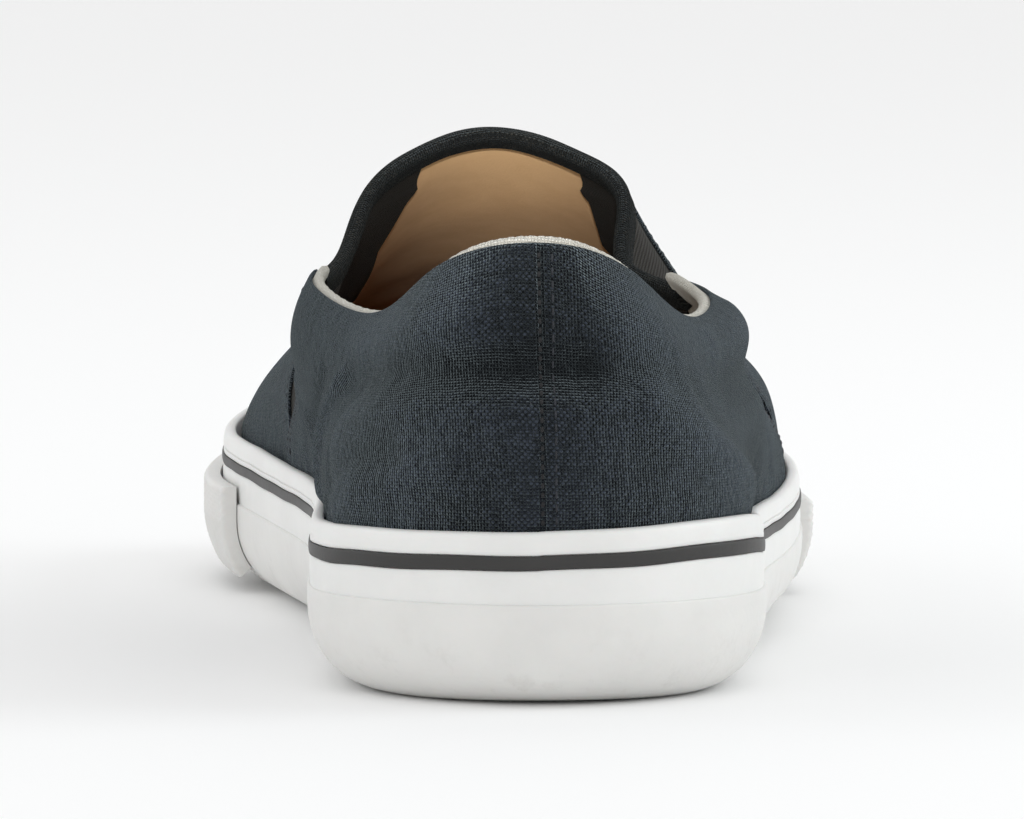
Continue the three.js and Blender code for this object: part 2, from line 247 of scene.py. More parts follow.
def edge_normal(station):
    """Unit vector in plan, square to the sole edge and outwards."""
    along = edge_plan(station + 0.01) - edge_plan(station - 0.01)
    along /= np.linalg.norm(along, axis=-1, keepdims=True)
    return np.stack([along[..., 1], -along[..., 0], 0 * along[..., 0]], axis=-1)


def spring_height(y):
    """Rise of the whole sole towards the toe: a parabola from 74% of the length."""
    return toe_spring * np.maximum(0, (y / shoe_length - 0.74) / 0.26) ** 2


def under_lift(y):
    """Lift of the underside alone, behind the heel and under the arch."""
    t = y / shoe_length
    heel = np.maximum(0, (0.07 - t) / 0.07)
    arch = np.clip((t - 0.3) / 0.26, 0, 1)
    return heel_lift * heel ** 2 + arch_lift * np.sin(np.pi * arch) ** 2


def beside_wall(station, inset, height):
    """Point inset from the sole edge and raised above the sprung sole."""
    station, inset, height = np.broadcast_arrays(station, inset, height)
    edge = edge_plan(station)
    point = edge - edge_normal(station) * inset[..., None]
    low = np.maximum(0, 1 - height / round_height)
    point[..., 2] = spring_height(edge[..., 1]) + height + under_lift(edge[..., 1]) * low
    return point


# The shoe's own origin, the back of the heel, in the row's frame.
fine_loop = edge_plan(np.linspace(0, stations, 2000, endpoint=False))
shoe_at = 1000 * np.array(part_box("outsole")[0]) - fine_loop.min(axis=0)
shoe_at[2] = 0.0


def add_piece(name, points, faces, cloth=None, wear_and_shade=None):
    """Makes a mesh object from points in millimetres in the shoe's frame. Its faces are turned
    outwards by the sign of the enclosed volume. cloth is a flat place for each vertex, and the
    last argument says how far the colour is painted lighter, above 0, for fading and light on
    ridges, or painted darker, below 0, as shade in folds."""
    points = points.reshape(-1, 3)
    corners = points[faces]
    volume = np.einsum("ij,ij->i", corners[:, 0], np.cross(corners[:, 1], corners[:, 2])).sum()
    volume += np.einsum("ij,ij->i", corners[:, 0], np.cross(corners[:, 2], corners[:, 3])).sum()
    if volume < 0:
        faces = faces[:, ::-1]
    mesh = bpy.data.meshes.new(name)
    mesh.vertices.add(len(points))
    mesh.vertices.foreach_set("co", ((points + shoe_at) * 0.001).ravel())
    mesh.loops.add(faces.size)
    mesh.loops.foreach_set("vertex_index", faces.ravel())
    mesh.polygons.add(len(faces))
    mesh.polygons.foreach_set("loop_start", np.arange(0, faces.size, 4))
    mesh.update(calc_edges=True)
    if cloth is not None:
        flat = mesh.attributes.new("cloth", "FLOAT2", "POINT")
        flat.data.foreach_set("vector", cloth.reshape(-1, 2).ravel())
    if wear_and_shade is not None:
        mesh.attributes.new("wear_and_shade", "FLOAT", "POINT").data.foreach_set("value", wear_and_shade.ravel())
    mesh.validate()
    mesh.shade_smooth()
    mesh.set_sharp_from_angle(angle=math.radians(55))
    piece = bpy.data.objects.new(name, mesh)
    bpy.context.scene.collection.objects.link(piece)
    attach(piece, "root")
    return piece


def ring_faces(rows, columns, closed_rows=False):
    """Quads of a grid whose columns close into a ring; closed_rows closes the rows as well."""
    r = np.arange(rows if closed_rows else rows - 1)[:, None]
    c = np.arange(columns)[None, :]
    r_next, c_next = (r + 1) % rows, (c + 1) % columns
    quads = [r * columns + c, r * columns + c_next, r_next * columns + c_next, r_next * columns + c]
    return np.stack(np.broadcast_arrays(*quads), axis=-1).reshape(-1, 4)


def filled_rings(rings):
    """Closed solid from rings round the shoe. The first and last ring are drawn in to the spine,
    halfway between mirrored stations, whose two halves share their vertices."""
    rows, columns = rings.shape[:2]
    count = rows * columns
    half = columns // 2 + 1
    mirrored = (-np.arange(columns)) % columns
    pair = np.minimum(np.arange(columns), mirrored)
    faces = [ring_faces(rows, columns)]
    points = [rings.reshape(-1, 3)]
    for end, flip in ((0, True), (rows - 1, False)):
        spine = (0.5 * (rings[end] + rings[end][mirrored]))[:half]
        a = end * columns + np.arange(columns)
        b = end * columns + (np.arange(columns) + 1) % columns
        d = count + pair
        c = count + pair[(np.arange(columns) + 1) % columns]
        quads = np.stack([a, b, c, d], axis=-1)
        faces.append(quads[:, ::-1] if flip else quads)
        points.append(spine)
        count += half
    return np.concatenate(points), np.concatenate(faces)


def soft_steps(values, step):
    """Smooth square wave of unit height from a phase in turns."""
    return 0.5 + 0.5 * np.tanh(np.sin(2 * np.pi * values) / step)


sole_columns = 560
around = np.linspace(0, stations, sole_columns, endpoint=False)


def wall_ring(inset, height):
    """A ring right round the shoe at one inset from the sole edge and one height."""
    return beside_wall(around, inset, height)


def sole_cup_rings():
    """Rings from the footbed over the rim, down the wall, round a quarter ellipse and inwards
    over the underside, whose height carries the zigzag tread."""
    step = step_share * side_wall(around)
    inner = foxing_thickness + 6
    rings = [
        wall_ring(inner, footbed_height),
        wall_ring(foxing_thickness, footbed_height),
        wall_ring(foxing_thickness, step),
    ]
    for turn in np.radians([0, 30, 60, 90]):
        rings.append(wall_ring(step_bevel * (1 - math.sin(turn)), step - step_bevel * (1 - math.cos(turn))))
    rings.append(wall_ring(0, 0.5 * (step + round_height)))
    for turn in np.radians(np.linspace(90, 0, 12)):
        rings.append(wall_ring(round_width * (1 - math.sin(turn)), round_height * (1 - math.cos(turn))))
    rim = rings[-1]
    spine = 0.5 * (rim + rim[(-np.arange(sole_columns)) % sole_columns])
    for share in np.linspace(0, 1, 44)[1:-1]:
        ring = rim + share * (spine - rim)
        x, y = ring[:, 0], ring[:, 1]
        sideways = np.abs((x / tread_pitch * tread_slant) % 2 - 1)
        zigzag = (y + tread_swing * sideways) / tread_pitch
        margin = np.clip(share * np.linalg.norm(spine - rim, axis=1) / 3 - 0.5, 0, 1)
        ring[:, 2] += tread_depth * margin * (1 - soft_steps(zigzag, 0.35))
        rings.append(ring)
    return np.stack(rings)


def rubber(name, colour, dirt, grain, roughness):
    """Moulded rubber: cloudy colour, faint dirt that gathers low down, and a fine mould grain."""
    material, tree, shader = new_material(name, {
        "Coat Weight": 0.12, "Coat Roughness": 0.35, "Subsurface Weight": 0.04,
        "Subsurface Scale": 0.002, "Specular IOR Level": 0.45,
    })
    place = node(tree, "ShaderNodeTexCoord").outputs["Object"]
    clouds = node(tree, "ShaderNodeTexNoise", {"Vector": place},
                  {"Scale": 38.0, "Detail": 5.0, "Roughness": 0.6})
    smudge = node(tree, "ShaderNodeTexNoise", {"Vector": place},
                  {"Scale": 120.0, "Detail": 6.0, "Roughness": 0.7})
    darker = tuple(0.93 * c for c in colour)
    lighter = tuple(min(1, 1.03 * c) for c in colour)
    base = ramp(tree, clouds.outputs["Fac"], [(0.25, darker), (0.55, colour), (0.8, lighter)])
    soil = math_node(tree, "MULTIPLY_ADD", smudge.outputs["Fac"], 3.2, -1.75)
    soil = math_node(tree, "MAXIMUM", soil, 0.0)
    height = node(tree, "ShaderNodeSeparateXYZ", {0: place}).outputs["Z"]
    low = math_node(tree, "SUBTRACT", 1.0, math_node(tree, "MULTIPLY", height, 60.0))
    low = math_node(tree, "MAXIMUM", low, 0.12)
    amount = math_node(tree, "MULTIPLY", math_node(tree, "MULTIPLY", soil, low), dirt)
    mixed = node(tree, "ShaderNodeMix", {"Factor": amount, 6: base}, {7: (0.34, 0.32, 0.28, 1.0)},
                 data_type="RGBA", clamp_factor=True)
    tree.links.new(mixed.outputs[2], shader.inputs["Base Color"])
    fine = node(tree, "ShaderNodeTexNoise", {"Vector": place}, {"Scale": grain, "Detail": 3.0})
    rough = math_node(tree, "MULTIPLY_ADD", smudge.outputs["Fac"], 0.22, roughness - 0.1)
    tree.links.new(rough, shader.inputs["Roughness"])
    bump = node(tree, "ShaderNodeBump", {"Height": fine.outputs["Fac"]},
                {"Strength": 0.12, "Distance": 0.0004})
    tree.links.new(bump.outputs[0], shader.inputs["Normal"])
    return material


def finish(piece, material, slot, *nodes):
    """Gives a piece its material and hides the CAD nodes it stands for. slot is not used."""
    piece.data.materials.append(material)
    if nodes:
        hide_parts(*nodes)


sole_white = rubber("sole_rubber", (0.74, 0.735, 0.715), 0.5, 900.0, 0.5)
sole_cup = add_piece("sole_cup", *filled_rings(sole_cup_rings()))
finish(sole_cup, sole_white, "sole_rubber", "outsole")

# Side tape
# Two plies of white rubber tape rolled round the joint of sole and upper, with a soft lip on
# top and a groove that holds the stripe. Hand rolling leaves its edges slightly uneven.
lip_height = 4.0
lip_round = 0.9
stripe_height = 2.8
stripe_depth = 0.9
stripe_proud = 0.5
step_inset = 0.5
gap = 0.3
from_heel = np.minimum(around, stations - around)


def uneven(station, size, phase):
    """Slow wave round the shoe: the sum of three sines with unlike periods."""
    turn = 2 * np.pi * station / stations
    quick = 0.6 * np.sin(13 * turn + 2 * phase) + 0.4 * np.sin(29 * turn)
    return size * (np.sin(5 * turn + phase) + quick) / 2


def tape_top():
    """Height of the tape's rolled upper edge, which was set higher round the outer heel: the side
    wall, a slow wave and a bell there."""
    outer_heel = 1.35 * np.exp(-((around - 1.0) / 0.6) ** 2)
    return side_wall(around) + uneven(around, 0.16, 0.4) + 0.35 + outer_heel


def groove_limits():
    """Heights of the groove's two edges; it is narrower along the sides than at the heel."""
    width = stripe_height - 0.15 - 0.7 * np.clip((from_heel - 1.2) / 1.2, 0, 1)
    upper = tape_top() - lip_height + uneven(around, 0.12, 1.9)
    return upper, upper - width + uneven(around, 0.08, 0.8)


def side_tape_rings():
    """Rings of the tape's section, from the rim of the sole up its face, into the groove, over
    the lip and down behind. Along the sides a fine line is pressed into the lip just above the
    stripe, which fades out at the heel."""
    top = tape_top()
    groove_top, groove_foot = groove_limits()
    foot = step_share * side_wall(around) - 0.12
    bulge = 0.12 * np.sin(np.linspace(0, np.pi, 5))
    pressed = 0.32 * np.clip((from_heel - 1.5) / 0.5, 0, 1)
    rings = [wall_ring(foxing_thickness, foot), wall_ring(step_inset, foot)]
    for share, out in zip(np.linspace(0.08, 0.94, 5), bulge):
        rings.append(wall_ring(step_inset - out, foot + share * (groove_foot - foot)))
    rings += [
        wall_ring(step_inset + 0.15, groove_foot),
        wall_ring(step_inset + stripe_depth, groove_foot + 0.1),
        wall_ring(step_inset + stripe_depth, groove_top - 0.1),
        wall_ring(step_inset + 0.15, groove_top),
        wall_ring(step_inset, groove_top + 0.15),
        wall_ring(step_inset, groove_top + 0.85),
        wall_ring(step_inset + pressed, groove_top + 1.0),
        wall_ring(step_inset + pressed, groove_top + 1.15),
        wall_ring(step_inset, groove_top + 1.3),
    ]
    for share in (0.42, 0.55, 0.68):
        leaned = step_inset + 1.1 * (share - 0.35) ** 2
        rings.append(wall_ring(leaned, groove_top + share * (top - groove_top)))
    for turn in np.radians(np.linspace(15, 90, 6)):
        inset = step_inset + 0.25 + 1.2 * (1 - math.cos(turn))
        rings.append(wall_ring(inset, top - lip_round * (1 - math.sin(turn))))
    rings += [wall_ring(foxing_thickness - 0.2, top - 0.02), wall_ring(foxing_thickness + 0.15, top - 0.4)]
    return np.stack(rings)


tape_white = rubber("tape_rubber", (0.79, 0.79, 0.775), 0.35, 700.0, 0.45)
tape_rings = side_tape_rings()
side_tape = add_piece("side_tape", tape_rings, ring_faces(*tape_rings.shape[:2], closed_rows=True))
finish(side_tape, tape_white, "tape_rubber", "foxing")

# Stripe
# A thin charcoal rubber strip pressed into the groove of the tape before curing, so its edges
# run a little unevenly and sit just proud.


def stripe_rings():
    """Rings of a flat oval section that fills the groove and follows its edges."""
    groove_top, groove_foot = groove_limits()
    back = step_inset + stripe_depth - 0.1
    front = step_inset - stripe_proud + 0.2
    middle, half = 0.5 * (groove_top + groove_foot), 0.5 * (groove_top - groove_foot) - 0.1
    rings = [wall_ring(back, middle - half + 0.1)]
    for turn in np.radians(np.linspace(-90, 90, 11)):
        out = front + (step_inset + 0.1 - front) * (1 - math.cos(turn) ** 0.35)
        rings.append(wall_ring(out, middle + half * math.sin(turn)))
    rings.append(wall_ring(back, middle + half - 0.1))
    return np.stack(rings)


stripe_dark = rubber("stripe_rubber", (0.024, 0.023, 0.022), 0.08, 800.0, 0.55)
stripe_points = stripe_rings()
tape_stripe = add_piece("tape_stripe", stripe_points, ring_faces(*stripe_points.shape[:2], closed_rows=True))
finish(tape_stripe, stripe_dark, "stripe_rubber", "foxing_stripe")

# Toe strip
# A second strip of rubber round the toe, embossed all over with fine pebbles against scuffs,
# cut square at both ends beside the ball of the foot.
bumper_from, bumper_to = 5.11, 10.89
bumper_thickness = 2.6
bumper_foot_angle = 50
pebble_pitch = 1.9
pebble_height = 0.4
wall_contact = 0.15


def pebbles(u, v, pitch):
    """Height of round pebbles in staggered rows, 0 in the valleys and 1 on top."""
    a = np.cos(2 * np.pi * u / pitch) * np.cos(2 * np.pi * v / pitch)
    return 0.5 + 0.5 * a


def toe_strip_sections():
    """Sections across the strip: up its inner face, then down the pebbled outer one."""
    snapped = np.round(np.array([bumper_from, bumper_to]) * 72 / stations) * stations / 72
    rounding = np.array([0, 0.002, 0.006, 0.012, 0.02])
    between = np.linspace(snapped[0] + 0.03, snapped[1] - 0.03, 410)
    place = np.concatenate([snapped[0] + rounding, between, snapped[1] - rounding[::-1]])
    ends = np.minimum(place - place[0], place[-1] - place) / 0.02
    swell = 1 - 0.3 * (1 - np.clip(ends, 0, 1)) ** 2.5
    run = np.concatenate([[0], np.cumsum(np.linalg.norm(np.diff(edge_plan(place), axis=0), axis=1))])
    top = side_wall(place) - lip_height - stripe_height - 3 * gap
    low = np.radians(bumper_foot_angle)
    inner, outer = [], []
    for turn in np.radians(np.linspace(bumper_foot_angle, 90, 12)):
        out = bumper_thickness * swell + gap
        below = round_height * (1 - math.cos(turn))
        aside = round_width * (1 - math.sin(turn))
        grain = pebble_height * pebbles(run, below * 1.2, pebble_pitch) * np.clip((turn - low) * 12, 0, 1)
        inner.append(beside_wall(
            place, aside - wall_contact * math.sin(turn), below - wall_contact * math.cos(turn)))
        outer.append(beside_wall(place, aside - out * math.sin(turn) - grain, below - out * math.cos(turn)))
    for share in np.linspace(0, 1, 22)[1:]:
        height = round_height + share * (top - 0.5 - round_height)
        grain = pebble_height * pebbles(run, height * 1.2, pebble_pitch) * min(1, (1 - share) * 12)
        inner.append(beside_wall(place, -wall_contact, height))
        outer.append(beside_wall(place, -gap - bumper_thickness * swell - grain, height))
    inner.append(beside_wall(place, -wall_contact, top - 0.2))
    outer.append(beside_wall(place, -gap - (bumper_thickness - 0.6) * swell, top - 0.1))
    rows = inner + outer[::-1]
    return np.stack(rows)


def strip_faces(rows, columns):
    """Quads of a tube whose rows close into a loop, with both ends filled by quads between
    rows that face each other."""
    r = np.arange(rows)[:, None]
    c = np.arange(columns - 1)[None, :]
    r_next = (r + 1) % rows
    quads = [r * columns + c, r * columns + c + 1, r_next * columns + c + 1, r_next * columns + c]
    body = np.stack(np.broadcast_arrays(*quads), axis=-1).reshape(-1, 4)
    low = np.arange((rows - 1) // 2)
    high = rows - 1 - low
    cap = np.stack([low, low + 1, high - 1, high], axis=-1)
    near = cap * columns
    far = cap[:, ::-1] * columns + columns - 1
    return np.concatenate([body, near, far])


strip_points = toe_strip_sections()
toe_strip = add_piece("toe_strip", strip_points, strip_faces(*strip_points.shape[:2]))
finish(toe_strip, sole_white, "sole_rubber", "toe_bumper")

# Canvas quarters
# Heavy navy canvas wraps the heel and both sides forward to the gores. Nothing stiffens it above
# the heel counter, so the empty collar slumps and the cloth rolls over a soft fold.
heel_height = 79.8
ankle_height = 62.0
instep_height = 93.3
quarter_wall = 2.8
quarter_step = 0.8
rib_inset = foxing_thickness + gap
seams = (4.28, 11.72)
corners = (3.36, 12.5)
throats = (5.35, 10.65)
gore_tip = 0.16
gore_tip_width = 0.05

# The top edge: x as a share of the ball width, y of the length, z of the height named.
topline = [
    (-0.005, 0.028, 1.0, heel_height),
    (0.143, 0.055, 0.933, heel_height),
    (0.259, 0.172, 1.02, ankle_height),
    (0.31, 0.307, 1.05, ankle_height),
    (0.197, 0.359, 0.748, instep_height),
    (0.193, 0.386, 0.876, instep_height),
    (0.12, 0.405, 0.951, instep_height),
    (0.045, 0.413, 0.985, instep_height),
    (-0.028, 0.414, 1.0, instep_height),
    (-0.103, 0.413, 0.989, instep_height),
    (-0.179, 0.406, 0.954, instep_height),
    (-0.258, 0.391, 0.879, instep_height),
    (-0.308, 0.36, 0.759, instep_height),
    (-0.35, 0.303, 1.074, ankle_height),
    (-0.257, 0.179, 1.032, ankle_height),
    (-0.164, 0.058, 0.941, heel_height),
]

# How each rib leaves the sole edge and arrives at the top edge: rise and reach are shares of
# the straight distance, lean tips it outwards, heading and tilt aim the upper handle.
ribs = [
    (0.34, 10, 180, 78, 0.33),
    (0.34, 8, 118, 74, 0.33),
    (0.36, 6, 92, 60, 0.36),
    (0.34, 4, 84, 42, 0.36),
    (0.26, 0, 66, 66, 0.34),
    (0.2, 0, 44, 56, 0.34),
    (0.12, 0, 22, 38, 0.4),
    (0.12, 0, 8, 32, 0.47),
    (0.12, 0, 0, 30.5, 0.48),
    (0.12, 0, -7, 32, 0.46),
    (0.1, -10, -14, 42, 0.39),
    (0.14, -6, -32, 57, 0.35),
    (0.24, 4, -60, 70, 0.36),
    (0.34, 8, -84, 58, 0.34),
    (0.36, 8, -92, 64, 0.36),
    (0.34, 8, -118, 74, 0.33),
]


def rib_guides():
    """Splines through the lower handles, upper handles and top points of the ribs."""
    at = np.arange(stations)
    rise, lean, heading, tilt, reach = np.array(ribs, float).T
    lean, heading, tilt = np.radians(lean), np.radians(heading), np.radians(tilt)
    start = beside_wall(at.astype(float), rib_inset, side_wall(at))
    end = np.array([(x * ball_width, y * shoe_length, z * of) for x, y, z, of in topline])
    span = np.linalg.norm(end - start, axis=1)[:, None]
    up = np.array([0.0, 0.0, 1.0])
    lower = start + (edge_normal(at.astype(float)) * np.sin(lean)[:, None]
                     + up * np.cos(lean)[:, None]) * rise[:, None] * span
    aim = np.stack([np.cos(tilt) * np.sin(heading), np.cos(tilt) * np.cos(heading), -np.sin(tilt)], axis=1)
    return loop_spline(lower), loop_spline(end + aim * reach[:, None] * span), loop_spline(end)


lower_guide, upper_guide, top_guide = rib_guides()
foot_share = -0.25


def rib_point(station, share):
    """Cubic from the sole edge (share 0) to the top edge (share 1) through the two guides. Below
    share 0 it goes straight down behind the tape, to the footbed at foot_share."""
    station, share = np.broadcast_arrays(station, share)
    s = np.maximum(np.asarray(share, float), 0)[..., None]
    rest = 1 - s
    wall = side_wall(station)
    start = beside_wall(station, rib_inset, wall)
    point = (start * rest ** 3 + lower_guide(station) * 3 * rest ** 2 * s
             + upper_guide(station) * 3 * rest * s ** 2 + top_guide(station) * s ** 3)
    point[..., 2] -= (wall - footbed_height - gap) * np.minimum(share, 0) / foot_share
    return point


def rib_frame(station, share):
    """Unit vectors up the rib and square out of the surface, by finite differences."""
    step = 0.004
    up = rib_point(station, share + step) - rib_point(station, share - step)
    around_it = rib_point(station + step, share) - rib_point(station - step, share)
    out = np.cross(around_it, up)
    out /= np.linalg.norm(out, axis=-1, keepdims=True)
    speed = np.linalg.norm(up, axis=-1) / (2 * step)
    return up / np.linalg.norm(up, axis=-1, keepdims=True), out, speed


# The fold that runs round the slumped outer quarter: its share up the rib and its depth in
# millimetres at each station, almost none in the vamp.
slump_share = loop_spline([0.6, 0.6, 0.65, 0.61, 0.6, 0.6, 0.6, 0.6, 0.6, 0.6, 0.6, 0.6, 0.6, 0.6, 0.62, 0.6])
slump_depth = loop_spline([0, 0.4, 1.8, 2.4, 0.6, 0, 0, 0, 0, 0, 0, 0, 0, 0.2, 0.4, 0.1])

# Creases placed one by one: three places (station, share) on the path, width and height in
# millimetres. A ridge stands out, a trough is below zero.
creases = [
    (((-1.9, 0.68), (-0.75, 0.57), (0.2, 0.56)), 4.6, -1.5),
    (((-1.0, 0.585), (-0.2, 0.555), (0.9, 0.57)), 3.6, -0.7),
    (((-1.5, 0.5), (-0.3, 0.4), (0.9, 0.42)), 6.0, 0.8),
    (((-1.9, 0.86), (-1.3, 0.76), (-0.6, 0.73)), 6.0, 1.3),
    (((0.7, 0.76), (1.3, 0.73), (1.9, 0.78)), 6.5, 1.1),
    (((0.67, 0.475), (0.95, 0.3), (2.2, 0.1)), 4.6, 1.4),
    (((1.2, 0.52), (1.6, 0.36), (2.7, 0.16)), 4.6, -1.2),
    (((-0.9, 0.3), (-1.5, 0.2), (-1.9, 0.06)), 4.0, -0.9),
    (((-0.5, 0.24), (-1.0, 0.14), (-1.3, 0.04)), 3.6, 0.7),
    (((2.0, 0.83), (2.7, 0.8), (3.4, 0.76)), 6.0, 1.0),
    (((3.4, 0.42), (4.1, 0.3), (5.0, 0.3)), 8.0, 1.1),
    (((13.94, 0.66), (13.78, 0.34), (13.7, 0.08)), 2.0, 1.5),
    (((13.62, 0.66), (13.44, 0.32), (13.35, 0.08)), 2.2, -1.2),
    (((13.33, 0.4), (13.2, 0.2), (12.98, 0.08)), 1.8, 1.2),
    (((12.95, 0.44), (12.8, 0.22), (12.62, 0.06)), 2.0, -1.0),
    (((12.5, 0.5), (12.35, 0.28), (12.2, 0.08)), 2.0, 0.7),
    (((3.3, 0.1), (3.25, 0.3), (3.05, 0.5)), 2.6, -0.7),
    (((14.35, 0.7), (14.2, 0.42), (14.25, 0.14)), 3.4, -0.9),
    (((14.9, 0.16), (14.5, 0.3), (14.3, 0.46)), 4.4, 0.7),
]


def smooth_path(places, count=13):
    """Quadratic curve through three places in station and share, as points on the surface."""
    t = np.linspace(0, 1, count)[:, None]
    first, middle, last = (np.array(p, float) for p in places)
    control = 2 * middle - 0.5 * (first + last)
    flat = first * (1 - t) ** 2 + control * 2 * t * (1 - t) + last * t ** 2
    return rib_point(flat[:, 0], flat[:, 1])


crease_paths = [(smooth_path(places), width, height) for places, width, height in creases]


def path_distance(point, path):
    """Shortest distance from each point to a chain of straight pieces."""
    nearest = np.full(point.shape[:-1], np.inf)
    for start, end in zip(path[:-1], path[1:]):
        piece = end - start
        along = np.clip((point - start) @ piece / (piece @ piece), 0, 1)
        nearest = np.minimum(nearest, np.linalg.norm(point - start - along[..., None] * piece, axis=-1))
    return nearest


def seam_gap(point, share):
    """Distance across from the back seam, which leans a little to the inner side."""
    return np.abs(point[..., 0] + 0.5 * share) + np.where(point[..., 1] > 60, 1000.0, 0.0)


def fold_height(station, share, point):
    """How far the cloth stands out from the smooth form: the slump fold, the creases as bells
    of distance from their paths, lasting gathers at the sole, slow waves and the seam's groove."""
    _, _, speed = rib_frame(station, share)
    down = (share - slump_share(station)) * speed
    depth = np.clip(slump_depth(station), 0, None)
    height = -depth * np.exp(-(down / 5.5) ** 2) + 0.45 * depth * np.exp(-((down - 12) / 8) ** 2)
    for path, width, rise in crease_paths:
        height += rise * np.exp(-(path_distance(point, path) / width) ** 2)
    x, y, z = point[..., 0], point[..., 1], point[..., 2]
    waves = np.sin(x / 7.1 + y / 11.3 + 0.6) * np.sin(z / 6.3 - y / 17.0 + 1.1)
    height += 0.16 * waves
    gather = np.sin(2 * np.pi * station * 5.3 + 2 * np.sin(station * 3.1))
    height += 0.16 * gather * np.exp(-np.maximum(share, 0) * speed / 4)
    height *= np.clip((1.02 - share) * 9, 0.25, 1)
    height -= 0.3 * np.exp(-(seam_gap(point, share) / 0.6) ** 2)
    return height


def cloth_point(station, share, offset):
    """Point of a cloth layer at an offset from the folded outer surface."""
    point = rib_point(station, share)
    _, out, _ = rib_frame(station, share)
    height = fold_height(station, share, point)
    return point + out * (height + offset)[..., None]


def layer(limits, columns, rise, offsets, rows, foot=-0.06, top=None, gathered=1.0):
    """Closed layer of cloth: outer face up, rounded top edge, inner face down. limits gives the
    first and last station at each share, offsets the outer and inner depth, and rise how far it
    stands above the top share in millimetres at a station. gathered below 1 sets the columns
    closer in the middle. Returns the points [rows, columns], the place of each in millimetres
    along the rows and ribs, and how far its colour is painted lighter on ridges, for fading and
    light, and darker in folds and the back seam's groove, as painted shade."""
    outer, inner = offsets
    across = np.linspace(-1, 1, columns)[None, :]
    across = 0.5 + 0.5 * across * (gathered + (1 - gathered) * across ** 2)
    shares = np.linspace(foot, 1, rows)[:, None]
    first, last = limits(np.clip(shares, 0, 1))
    station = first + (last - first) * across
    end = np.ones_like(station[:1]) if top is None else top(station[-1:])
    _, _, speed = rib_frame(station[-1:], end)
    end = end + rise(station[-1:]) / speed
    share = foot + (end - foot) * (shares - foot) / (1 - foot)
    middle, half = 0.5 * (outer + inner), 0.5 * (outer - inner)
    turns = np.radians([35, 90, 145])
    edge_share = np.concatenate([end + half * math.sin(t) / speed for t in turns])
    edge_offset = np.concatenate([middle + half * math.cos(t) + 0 * end for t in turns])
    stations_all = np.concatenate([station, np.repeat(station[-1:], 3, axis=0), station[::-1]])
    shares_all = np.concatenate([share, edge_share, share[::-1]])
    offsets_all = np.concatenate([0 * share + outer, edge_offset, 0 * share + inner])
    squeeze = np.ones(columns)
    squeeze[[0, -1]] = 0.55
    offsets_all = middle + (offsets_all - middle) * squeeze
    points = cloth_point(stations_all, shares_all, offsets_all)
    smooth = rib_point(stations_all, shares_all)
    # Painted light and shade: the colour follows the folds, lighter on ridges, where the cloth fades and
    # light falls, and darker in troughs, where shade falls.
    wear_and_shade = fold_height(stations_all, shares_all, smooth)
    # Painted shade: the colour is made much darker along the groove of the back seam.
    wear_and_shade -= 2.2 * np.exp(-(seam_gap(smooth, shares_all) / 0.5) ** 2)
    run = np.linalg.norm(np.diff(points, axis=1), axis=-1)
    run = np.concatenate([np.zeros((len(points), 1)), np.cumsum(run, axis=1)], axis=1)
    run -= run[:, [columns // 2]]
    climb = np.linalg.norm(np.diff(points, axis=0), axis=-1)
    climb = np.concatenate([np.zeros((1, columns)), np.cumsum(climb, axis=0)])
    return points, np.stack([run, climb], axis=-1), wear_and_shade


def level(height):
    """The same rise all round."""
    return lambda station: 0 * station + height


def bell(station, centre, width):
    """1 at the centre station, falling off as a bell on both sides of the loop."""
    away = np.abs(np.mod(station - centre + stations / 2, stations) - stations / 2)
    return np.exp(-(away / width) ** 2)


def gore_edge(seam, end, share):
    """Station of a gore's side at a share: the seam below the tip, then straight to its corner."""
    width = gore_tip_width + (1 - gore_tip_width) * (share - gore_tip) / (1 - gore_tip)
    rounded = 0.5 * (width + np.sqrt(width ** 2 + 0.02 ** 2))
    return seam + (end - seam) * rounded


def quarter_limits(share):
    """The quarters run from the inner gore round the heel to the outer gore."""
    first = gore_edge(seams[1], corners[1], share) - stations
    last = gore_edge(seams[0], corners[0], share)
    return first, last


